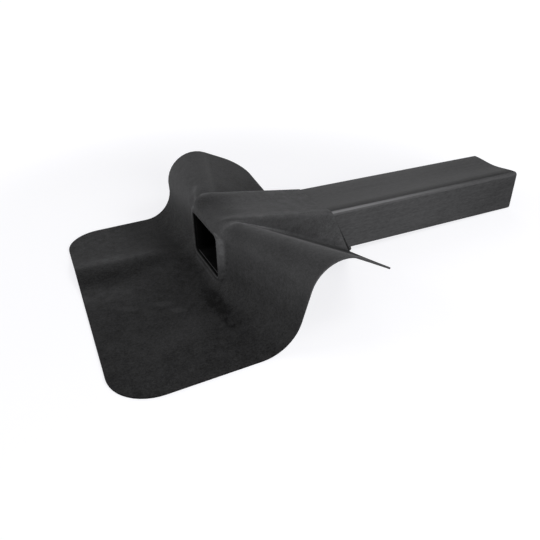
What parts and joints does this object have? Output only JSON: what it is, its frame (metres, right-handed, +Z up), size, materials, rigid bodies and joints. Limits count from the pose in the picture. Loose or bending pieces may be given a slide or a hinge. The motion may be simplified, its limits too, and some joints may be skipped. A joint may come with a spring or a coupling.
{
  "type": "parapet roof drain outlet",
  "caption": "Parapet roof outlet: a soft rubber flange with a flat apron, wings curling back and a tapered collar bonded round a rectangular tube that drains a flat roof through the wall.",
  "frame": {"origin": "on the roof face under the apron, on the tube's centre line, at the foot of the upturned sheet", "axes": "+X along the tube from its mouth towards its outlet, +Z up from the roof, +Y across the flange"},
  "size_m": [0.7075, 0.424, 0.109],
  "materials": {
    "flange_rubber": "matt moulded rubber, faintly mottled",
    "tube_plastic": "satin extruded plastic"
  },
  "bodies": {
    "root": {"flange": "flange_rubber", "outlet_tube": "tube_plastic"}
  },
  "joints": []
}
